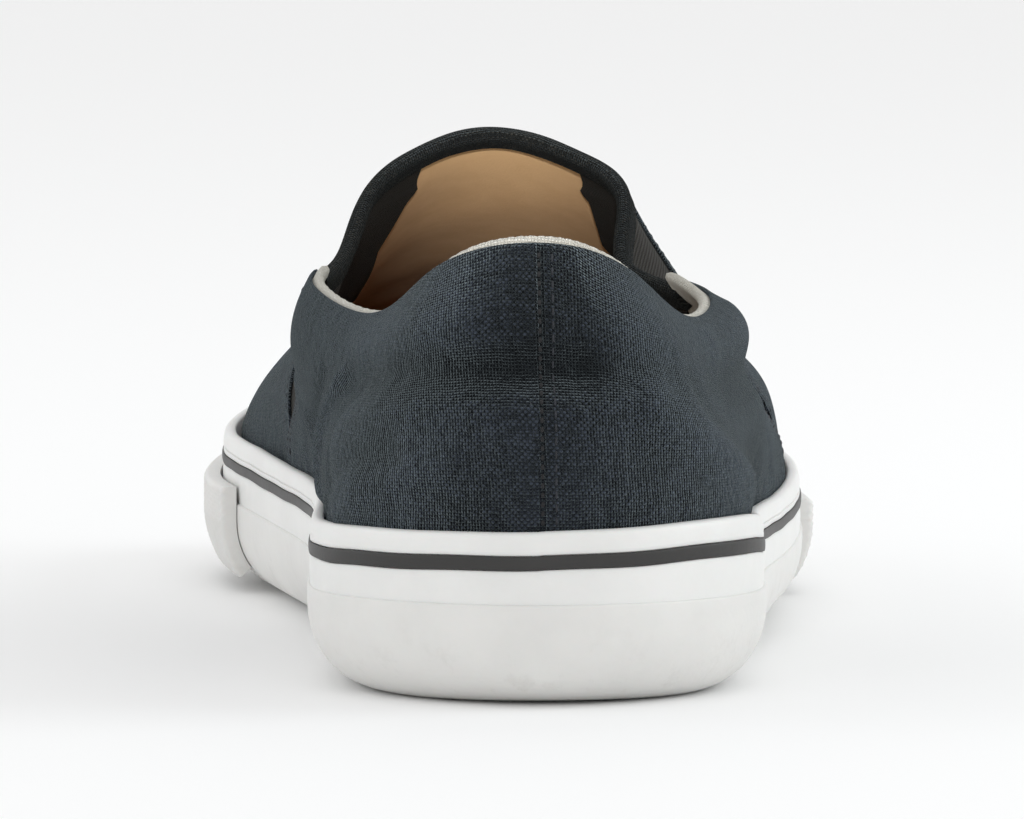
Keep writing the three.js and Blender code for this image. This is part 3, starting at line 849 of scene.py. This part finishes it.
def canvas(name, dark, light, thread, sheen, fleck):
    """Plain-weave canvas: round threads over and under, heathered yarn, lint and a soft sheen."""
    material, tree, shader = new_material(name, {
        "Roughness": 0.92, "Specular IOR Level": 0.1, "Sheen Weight": sheen,
        "Sheen Roughness": 0.4, "Sheen Tint": (0.78, 0.94, 1.0, 1.0),
    })
    flat = node(tree, "ShaderNodeAttribute", attribute_name="cloth").outputs["Vector"]
    place = node(tree, "ShaderNodeTexCoord").outputs["Object"]
    wobble = node(tree, "ShaderNodeTexNoise", {"Vector": flat}, {"Scale": 0.35, "Detail": 2.0})
    shift = node(tree, "ShaderNodeVectorMath", {0: wobble.outputs["Color"]}, operation="SCALE")
    shift.inputs["Scale"].default_value = 0.5
    flat = node(tree, "ShaderNodeVectorMath", {0: flat, 1: shift.outputs[0]}, operation="ADD").outputs[0]
    parts = node(tree, "ShaderNodeSeparateXYZ", {0: flat})
    u = math_node(tree, "DIVIDE", parts.outputs["X"], thread)
    v = math_node(tree, "DIVIDE", parts.outputs["Y"], thread)

    def dome(value):
        """1 in the middle of a thread and 0 at its sides."""
        centred = math_node(tree, "SUBTRACT", math_node(tree, "FRACT", value), 0.5)
        square = math_node(tree, "MULTIPLY", centred, centred)
        return math_node(tree, "MULTIPLY_ADD", square, -4.0, 1.0)

    warp, weft = dome(u), dome(v)
    cell = math_node(tree, "ADD", math_node(tree, "FLOOR", u), math_node(tree, "FLOOR", v))
    over = math_node(tree, "PINGPONG", cell, 1.0)
    warp_up = math_node(tree, "MULTIPLY", warp, math_node(tree, "MULTIPLY_ADD", weft, 0.6, 0.4))
    weft_up = math_node(tree, "MULTIPLY", weft, math_node(tree, "MULTIPLY_ADD", warp, 0.6, 0.4))
    woven = node(tree, "ShaderNodeMix", {"Factor": over, 2: warp_up, 3: weft_up}).outputs[0]

    def streaks(across, along):
        """Uneven yarn: noise drawn out along a thread, 1 on average."""
        drawn = node(tree, "ShaderNodeVectorMath", {0: flat}, operation="MULTIPLY")
        drawn.inputs[1].default_value = (across, along, 1.0)
        noise = node(tree, "ShaderNodeTexNoise", {"Vector": drawn.outputs[0]}, {"Scale": 1.0, "Detail": 3.0})
        strong = math_node(tree, "MULTIPLY_ADD", noise.outputs["Fac"], 4.4, -1.2)
        return math_node(tree, "MAXIMUM", strong, 0.12)

    warp_yarn, weft_yarn = streaks(1.6, 0.3), streaks(0.3, 1.6)
    yarn = node(tree, "ShaderNodeMix", {"Factor": over, 2: warp_yarn, 3: weft_yarn}).outputs[0]
    heather = streaks(0.95, 0.95)
    blotch = node(tree, "ShaderNodeTexNoise", {"Vector": place}, {"Scale": 45.0, "Detail": 5.0})
    # Painted light and shade on the weave: the colour follows the threads' height, darker towards their
    # sides, as shade between the threads, and lighter on their crowns, most where the weft lies on top.
    knot = math_node(tree, "MULTIPLY", math_node(tree, "MULTIPLY", over, weft_up), 0.42)
    tone = math_node(tree, "MULTIPLY_ADD", woven, 0.2, knot)
    tone = math_node(tree, "MULTIPLY", tone, math_node(tree, "MULTIPLY", yarn, heather))
    # Painted light and shade: the colour is raised on ridges, for fading and light, and lowered in folds and
    # along the seam's groove, for shade.
    wear_and_shade = node(tree, "ShaderNodeAttribute", attribute_name="wear_and_shade").outputs["Fac"]
    fade_and_shade = math_node(tree, "MAXIMUM", math_node(tree, "MULTIPLY_ADD", wear_and_shade, 0.75, 1.0), 0.15)
    tone = math_node(tree, "MULTIPLY", tone, fade_and_shade)
    tone = math_node(tree, "ADD", tone, math_node(tree, "MULTIPLY_ADD", blotch.outputs["Fac"], 0.9, -0.45))
    between = tuple(0.7 * d + 0.3 * l for d, l in zip(dark, light))
    base = ramp(tree, tone, [(0.03, dark), (0.38, between), (0.9, light)])
    lint = node(tree, "ShaderNodeTexNoise", {"Vector": flat}, {"Scale": 2.9, "Detail": 2.0})
    specks = math_node(tree, "MAXIMUM", math_node(tree, "MULTIPLY_ADD", lint.outputs["Fac"], 14.0, -9.9), 0.0)
    specks = math_node(tree, "MULTIPLY", specks, fleck)
    mixed = node(tree, "ShaderNodeMix", {"Factor": specks, 6: base}, {7: (0.3, 0.31, 0.33, 1.0)},
                 data_type="RGBA", clamp_factor=True)
    tree.links.new(mixed.outputs[2], shader.inputs["Base Color"])
    rise = math_node(tree, "ADD", woven, math_node(tree, "MULTIPLY", heather, 0.5))
    slack = node(tree, "ShaderNodeTexNoise", {"Vector": place}, {"Scale": 420.0, "Detail": 4.0})
    rise = math_node(tree, "MULTIPLY_ADD", slack.outputs["Fac"], 2.6, rise)
    bump = node(tree, "ShaderNodeBump", {"Height": rise}, {"Strength": 0.9, "Distance": 0.0005})
    tree.links.new(bump.outputs[0], shader.inputs["Normal"])
    return material


def canvas_rise(station):
    """The canvas ends a little lower round the back of the heel."""
    return -0.7 * bell(station, 0.0, 1.3)


navy = canvas("navy_canvas", (0.0006, 0.001, 0.0022), (0.046, 0.056, 0.078), 0.56, 0.32, 0.35)
quarter_points, quarter_flat, quarter_wear_and_shade = layer(
    quarter_limits, 520, canvas_rise, (0.0, -0.8), 64, gathered=0.35)
quarters = add_piece(
    "canvas_quarters", quarter_points, strip_faces(*quarter_points.shape[:2]), quarter_flat, quarter_wear_and_shade)
finish(quarters, navy, "canvas", "upper")

# Quarter lining
# Thick cream cotton backed with thin foam lines the quarters. It is turned at the collar so
# that a narrow cream edge stands above the canvas.
cream = canvas("cream_lining", (0.78, 0.74, 0.65), (0.94, 0.92, 0.85), 0.6, 0.2, 0.0)


def lining_limits(share):
    """The canvas limits, drawn back a little below the collar."""
    first, last = quarter_limits(share)
    recess = 0.05 * np.clip((0.97 - share) * 12, 0, 1)
    return first + recess, last - recess


def lining_rise(station):
    """Stands proud of the canvas, highest at the outer corner, but is turned down inside along
    the low inner side of the collar. Two quick waves make the napped edge uneven."""
    nap = 0.05 * np.sin(station * 61) + 0.04 * np.sin(station * 143 + 1)
    outer_corner = 2.0 * bell(station, 3.2, 0.22)
    rolled = -0.7 * bell(station, 0.0, 1.3) - 1.7 * bell(station, 14.55, 0.4) + outer_corner
    return 0.8 + rolled + nap


lining_points, lining_flat, _ = layer(lining_limits, 420, lining_rise, (-0.85, -2.7), 40, foot=foot_share)
quarter_lining = add_piece(
    "quarter_lining", lining_points, strip_faces(*lining_points.shape[:2]), lining_flat)
finish(quarter_lining, cream, "canvas", "upper")

# Vamp
# One piece of the same canvas covers the foot from the gores to the toe. It meets the quarters
# at the side seams and its sides lie over the gores.


def vamp_limits(share):
    """Below the tip of each gore a strip of elastic stays bare between vamp and quarter."""
    bare = 0.03 * np.clip((gore_tip + 0.04 - share) / 0.06, 0, 1)
    first = gore_edge(seams[0], throats[0], share) + bare
    last = gore_edge(seams[1], throats[1], share) - bare
    return first, last


def throat_end(station):
    """Share at which the cloth ends inside the binding."""
    return 1 - 1.2 / rib_frame(station, np.ones_like(station))[2]


def lay_straight(points):
    """Flat place with the weave straight along the shoe: lengthwise the run of the middle line
    to the same y, crosswise x plus a part of the drop that grows as the side turns down."""
    middle = rib_point(np.full(400, 8.05), np.linspace(1.0, 0.0, 400))
    run = np.concatenate([[0], np.cumsum(np.linalg.norm(np.diff(middle, axis=0), axis=1))])
    along = np.interp(points[..., 1], middle[:, 1], run) + np.minimum(points[..., 1] - middle[0, 1], 0)
    drop = np.maximum(np.interp(points[..., 1], middle[:, 1], middle[:, 2]) - points[..., 2], 0)
    side = points[..., 0] + 3.0
    across = side + np.tanh(side / 12) * drop * (0.25 + 0.4 * np.minimum(drop / 45, 1))
    return np.stack([across, along], axis=-1)


vamp_points, _, vamp_wear_and_shade = layer(vamp_limits, 340, level(0.0), (-0.8, -1.5), 92, top=throat_end)
vamp = add_piece(
    "canvas_vamp", vamp_points, strip_faces(*vamp_points.shape[:2]), lay_straight(vamp_points), vamp_wear_and_shade)
finish(vamp, navy, "canvas", "upper")

# Vamp lining
# Smooth tan synthetic suede lines the vamp down to the toe. It shows inside the throat,
# between the two dark gores, and carries painted shade that darkens it towards the sole.


def suede():
    """Napped tan lining: mottled colour with painted shade that darkens it low in the shoe, and a fine soft
    nap.
    """
    material, tree, shader = new_material("tan_lining", {
        "Roughness": 0.85, "Specular IOR Level": 0.25, "Sheen Weight": 0.05, "Sheen Roughness": 0.5,
    })
    place = node(tree, "ShaderNodeTexCoord").outputs["Object"]
    height = node(tree, "ShaderNodeSeparateXYZ", {0: place}).outputs["Z"]
    cloud = node(tree, "ShaderNodeTexNoise", {"Vector": place},
                 {"Scale": 160.0, "Detail": 5.0, "Roughness": 0.65})
    mottle = math_node(tree, "MULTIPLY_ADD", cloud.outputs["Fac"], 0.3, -0.15)
    # Painted shade: the tan turns dark brown towards the bottom of the shoe, where less light reaches.
    tone = math_node(tree, "ADD", math_node(tree, "MULTIPLY_ADD", height, 11.0, -0.12), mottle)
    colour = ramp(tree, tone, [
        (0.1, (0.3, 0.09, 0.04)), (0.42, (0.62, 0.33, 0.13)), (0.8, (0.86, 0.54, 0.26))])
    tree.links.new(colour, shader.inputs["Base Color"])
    nap = node(tree, "ShaderNodeTexNoise", {"Vector": place}, {"Scale": 1800.0, "Detail": 3.0})
    bump = node(tree, "ShaderNodeBump", {"Height": nap.outputs["Fac"]},
                {"Strength": 0.25, "Distance": 0.0003})
    tree.links.new(bump.outputs[0], shader.inputs["Normal"])
    return material


tan = suede()


def elastic_line(side, share):
    """Station of the front edge of the elastic inside the shoe, with a small corner jutting in
    just under the binding."""
    places = {
        "lateral": [
            (0.0, 4.34), (0.16, 4.6), (0.6, 6.0), (0.8, 6.38), (0.93, 6.14), (1.0, 6.08)],
        "medial": [
            (0.0, 11.66), (0.16, 11.2), (0.4, 9.9), (0.62, 9.45), (0.8, 9.93), (0.93, 9.78), (1.0, 9.72)],
    }[side]
    known, edge = np.array(places).T
    inward = 1 if side == "lateral" else -1
    jut = 0.13 * np.exp(-((share - 0.93) / 0.014) ** 2)
    return np.interp(share, known, edge) + inward * jut


def vamp_lining_limits(share):
    """The lining reaches a little behind the front edges of the elastic."""
    return elastic_line("lateral", share) - 0.1, elastic_line("medial", share) + 0.1


vamp_lining_points, _, _ = layer(
    vamp_lining_limits, 220, level(0.0), (-1.55, -2.1), 60, foot=foot_share, top=throat_end)
vamp_lining = add_piece("vamp_lining", vamp_lining_points, strip_faces(*vamp_lining_points.shape[:2]))
finish(vamp_lining, tan, "canvas", "upper")

# Elastic gores
# Black ribbed elastic joins vamp and quarters on both sides, so that the throat stretches
# over the instep. It is sewn under both edges and tapers to the side seam.


def elastic():
    """Ribbed elastic webbing: dark round cords side by side with a fine crossing yarn."""
    material, tree, shader = new_material("black_elastic", {
        "Roughness": 0.85, "Specular IOR Level": 0.2, "Sheen Weight": 0.06, "Sheen Roughness": 0.5,
    })
    flat = node(tree, "ShaderNodeAttribute", attribute_name="cloth").outputs["Vector"]
    parts = node(tree, "ShaderNodeSeparateXYZ", {0: flat})
    cords = math_node(tree, "SINE", math_node(tree, "MULTIPLY", parts.outputs["Y"], 2 * math.pi / 1.1))
    yarn = math_node(tree, "SINE", math_node(tree, "MULTIPLY", parts.outputs["X"], 2 * math.pi / 0.5))
    height = math_node(tree, "ADD", cords, math_node(tree, "MULTIPLY", yarn, 0.3))
    # Painted shade: the colour follows the cords' height, darker in the valleys between the cords and lighter
    # on their tops.
    tone = math_node(tree, "MULTIPLY_ADD", height, 0.3, 0.5)
    colour = ramp(tree, tone, [(0.1, (0.004, 0.0035, 0.0025)), (0.9, (0.018, 0.016, 0.011))])
    tree.links.new(colour, shader.inputs["Base Color"])
    bump = node(tree, "ShaderNodeBump", {"Height": height}, {"Strength": 0.6, "Distance": 0.0003})
    tree.links.new(bump.outputs[0], shader.inputs["Normal"])
    return material


def gore_outside(which):
    """The wedge between the two cloth edges, reaching a little under both."""
    def limits(share):
        """From under the quarter to under the vamp."""
        rear = gore_edge(seams[which], corners[which], share)
        front = gore_edge(seams[which], throats[which], share)
        under = np.sign(throats[which] - corners[which])
        return rear - 0.06 * under, front + 0.12 * under
    return layer(limits, 70, level(0.0), (-1.55, -2.1), 60, foot=0.0, top=throat_end)


def gore_inside(which, side):
    """The second ply inside the shoe, from the quarter lining to its line on the vamp lining."""
    def limits(share):
        """From the quarter's edge to the elastic's front edge."""
        return gore_edge(seams[which], corners[which], share), elastic_line(side, share)
    return layer(limits, 70, level(0.0), (-2.15, -2.85), 90, foot=0.0, top=throat_end)


black_elastic = elastic()
for which, side in enumerate(("lateral", "medial")):
    for ply, (wedge, wedge_flat, _) in (("outer", gore_outside(which)), ("inner", gore_inside(which, side))):
        gore = add_piece("gore_" + side + "_" + ply, wedge, strip_faces(*wedge.shape[:2]), wedge_flat)
        finish(gore, black_elastic, "elastic", "gore_" + side)

# Throat binding
# Black cotton tape is folded over the raw edge of the gores and vamp and sewn through, so the
# throat has a soft rounded rim.
binding_width = 4.4
binding_thickness = 3.0


def gore_top_station(which):
    """Where the binding starts: the rear side of a gore at the top."""
    return gore_edge(seams[which], corners[which], 0.9)


def binding_sections():
    """Rounded section carried along the top edge from one quarter corner to the other."""
    place = np.linspace(gore_top_station(0) - 0.12, gore_top_station(1) + 0.12, 300)
    ones = np.ones_like(place)
    up, out, _ = rib_frame(place, ones)
    top = rib_point(place, ones)
    middle = -quarter_step / 2 - binding_thickness / 2
    half = binding_thickness / 2
    run = np.concatenate([[0], np.cumsum(np.linalg.norm(np.diff(top, axis=0), axis=1))])
    wave = 0.08 * np.sin(run / 2.3) + 0.08 * np.sin(run / 5.1 + 1)
    section = []
    for turn in np.radians(np.linspace(90, -90, 13)):
        section.append((-binding_thickness / 2 + half * math.cos(turn), middle + half * math.sin(turn)))
    section += [(-binding_width * s, middle - half * (1 - 0.12 * s)) for s in (0.6, 0.8, 1.0)]
    section += [(-binding_width * s, middle + half * (1 - 0.12 * s)) for s in (1.0, 0.8, 0.6)]
    rows = [top + up * along + out * (depth + wave * (0.5 if depth > middle else -0.5))[:, None]
            for along, depth in section]
    points = np.stack(rows)
    lap = np.linalg.norm(np.diff(points, axis=0), axis=-1).mean(axis=1)
    lap = np.concatenate([[0], np.cumsum(lap)])
    flat = np.stack(np.broadcast_arrays(run[None, :], lap[:, None]), axis=-1)
    return points, flat


tape_black = canvas("binding_tape", (0.003, 0.0028, 0.0022), (0.034, 0.031, 0.025), 0.45, 0.07, 0.1)
binding_points, binding_flat = binding_sections()
binding = add_piece("throat_tape", binding_points, strip_faces(*binding_points.shape[:2]), binding_flat)
finish(binding, tape_black, "binding_tape", "throat_binding")

# Sock liner
# A thin foam sheet covered in brown cloth lies on the footbed, a little raised at its rim.
liner_thickness = 3.6


def sock_liner_rings():
    """Rings from the underside over a rounded rim and inwards over a slightly dished top."""
    edge = rib_inset + quarter_wall + 0.25
    floor_level = footbed_height + 0.2
    rings = [wall_ring(edge + 3, floor_level), wall_ring(edge, floor_level)]
    for turn in np.radians(np.linspace(0, 90, 6)):
        rings.append(wall_ring(edge + 1 - math.cos(turn), floor_level + liner_thickness - 1 + math.sin(turn)))
    rim = rings[-1]
    spine = 0.5 * (rim + rim[(-np.arange(sole_columns)) % sole_columns])
    for share in np.linspace(0, 1, 16)[1:-1]:
        ring = rim + share * (spine - rim)
        ring[:, 2] -= 1.2 * math.sin(math.pi * share / 2) ** 0.7
        rings.append(ring)
    return np.stack(rings)


def liner_cloth():
    """Brown brushed cloth with fine grain."""
    material, tree, shader = new_material("sock_liner_cloth", {
        "Roughness": 0.9, "Specular IOR Level": 0.2, "Sheen Weight": 0.2,
    })
    place = node(tree, "ShaderNodeTexCoord").outputs["Object"]
    grain = node(tree, "ShaderNodeTexNoise", {"Vector": place}, {"Scale": 900.0, "Detail": 4.0})
    cloud = node(tree, "ShaderNodeTexNoise", {"Vector": place}, {"Scale": 60.0, "Detail": 4.0})
    cloudy = math_node(tree, "MULTIPLY", cloud.outputs["Fac"], 0.5)
    tone = math_node(tree, "MULTIPLY_ADD", grain.outputs["Fac"], 0.5, cloudy)
    colour = ramp(tree, tone, [(0.3, (0.16, 0.085, 0.05)), (0.7, (0.36, 0.22, 0.13))])
    tree.links.new(colour, shader.inputs["Base Color"])
    bump = node(tree, "ShaderNodeBump", {"Height": grain.outputs["Fac"]},
                {"Strength": 0.3, "Distance": 0.0003})
    tree.links.new(bump.outputs[0], shader.inputs["Normal"])
    return material


sock_liner = add_piece("sock_liner", *filled_rings(sock_liner_rings()))
finish(sock_liner, liner_cloth(), "sock_liner", "insole")

# Stitches
# Tonal lockstitch: a tight row in the back seam and one beside it, double rows along the front
# edges of the quarters, and one row along the sides of the vamp.


def stitch_row(station, share, beside, offset, length, space):
    """Places, directions, outward normals and length of stitches spaced evenly along a path
    that runs beside the given stations at a distance in millimetres."""
    fine = np.linspace(0, 1, 600)
    where = np.interp(fine, np.linspace(0, 1, len(station)), station)
    height = np.interp(fine, np.linspace(0, 1, len(share)), share)
    pace = np.linalg.norm(rib_point(where + 0.01, height) - rib_point(where - 0.01, height), axis=-1) / 0.02
    where = where + beside / pace
    path = cloth_point(where, height, np.full_like(where, offset))
    run = np.concatenate([[0], np.cumsum(np.linalg.norm(np.diff(path, axis=0), axis=1))])
    count = max(2, int(run[-1] / (length + space)))
    middle = (np.arange(count) + 0.5) * run[-1] / count
    place = np.stack([np.interp(middle, run, path[:, k]) for k in range(3)], axis=1)
    ahead = np.stack([np.interp(middle + 0.4, run, path[:, k]) for k in range(3)], axis=1)
    behind = np.stack([np.interp(middle - 0.4, run, path[:, k]) for k in range(3)], axis=1)
    along = ahead - behind
    along /= np.linalg.norm(along, axis=1, keepdims=True)
    _, out, _ = rib_frame(np.interp(middle, run, where), np.interp(middle, run, height))
    out -= along * np.sum(out * along, axis=1, keepdims=True)
    out /= np.linalg.norm(out, axis=1, keepdims=True)
    return place, along, out, np.full((count, 1), length)


def stitch_mesh(rows, radius):
    """One small capsule for each stitch: six-sided rings whose ends dip into the cloth."""
    place, along, out, length = (np.concatenate(parts) for parts in zip(*rows))
    side = np.cross(along, out)
    steps = np.array([-0.5, -0.36, 0.0, 0.36, 0.5])
    widths = np.array([0.35, 0.9, 1.0, 0.9, 0.35])
    dips = np.array([-1.3, -0.3, 0.1, -0.3, -1.3])
    turns = np.linspace(0, 2 * np.pi, 6, endpoint=False)
    lengthwise = np.broadcast_to(steps[:, None], (5, 6))
    sideways = radius * widths[:, None] * np.cos(turns)
    upwards = radius * (widths[:, None] * np.sin(turns) + dips[:, None])
    points = place[:, None, None, :] + along[:, None, None, :] * (length[:, :, None] * lengthwise)[..., None]
    points = points + side[:, None, None, :] * sideways[..., None]
    points = points + out[:, None, None, :] * upwards[..., None]
    one = ring_faces(5, 6)
    caps = np.array([[0, 1, 2, 3], [0, 3, 4, 5]])
    one = np.concatenate([one, caps[:, ::-1], caps + 24])
    faces = (np.arange(len(place)) * 30)[:, None, None] + one[None]
    return points, faces.reshape(-1, 4)


def thread(name, dark, light):
    """Twisted cotton thread of slightly uneven colour."""
    material, tree, shader = new_material(name, {"Roughness": 0.75, "Sheen Weight": 0.15})
    place = node(tree, "ShaderNodeTexCoord").outputs["Object"]
    tone = node(tree, "ShaderNodeTexNoise", {"Vector": place}, {"Scale": 700.0, "Detail": 2.0})
    tree.links.new(ramp(tree, tone.outputs["Fac"], [(0.3, dark), (0.75, light)]), shader.inputs["Base Color"])
    return material


back_seam = np.linspace(0.02, 0.965, 40)
back = np.full(40, -0.005)
edge_row, second_row = 1.6, 4.4
stitch_space = 0.8
seam_rows = [stitch_row(back, back_seam, 0.0, 0.1, 1.1, 0.5)]
rows = [stitch_row(back, back_seam, 2.3, 0.1, 1.5, stitch_space)]
front = np.linspace(0.03, 0.965, 60)
for which, sign in ((0, -1), (1, 1)):
    quarter_front = gore_edge(seams[which], corners[which], front)
    for beside in (edge_row, second_row):
        rows.append(stitch_row(quarter_front, front, sign * beside, -0.02, 1.7, stitch_space))
    side = np.linspace(gore_tip + 0.06, 0.93, 60)
    vamp_side = gore_edge(seams[which], throats[which], side)
    rows.append(stitch_row(vamp_side, side, -sign * edge_row, -0.85, 1.7, stitch_space))
black_thread = thread("black_thread", (0.002, 0.002, 0.003), (0.006, 0.006, 0.008))
navy_thread = thread("navy_thread", (0.005, 0.006, 0.009), (0.022, 0.026, 0.036))
for name, group, radius, cotton in (
        ("back_seam_stitching", seam_rows, 0.3, black_thread), ("canvas_stitching", rows, 0.18, navy_thread)):
    stitch_points, stitch_faces = stitch_mesh(group, radius)
    finish(add_piece(name, stitch_points, stitch_faces), cotton, "canvas")
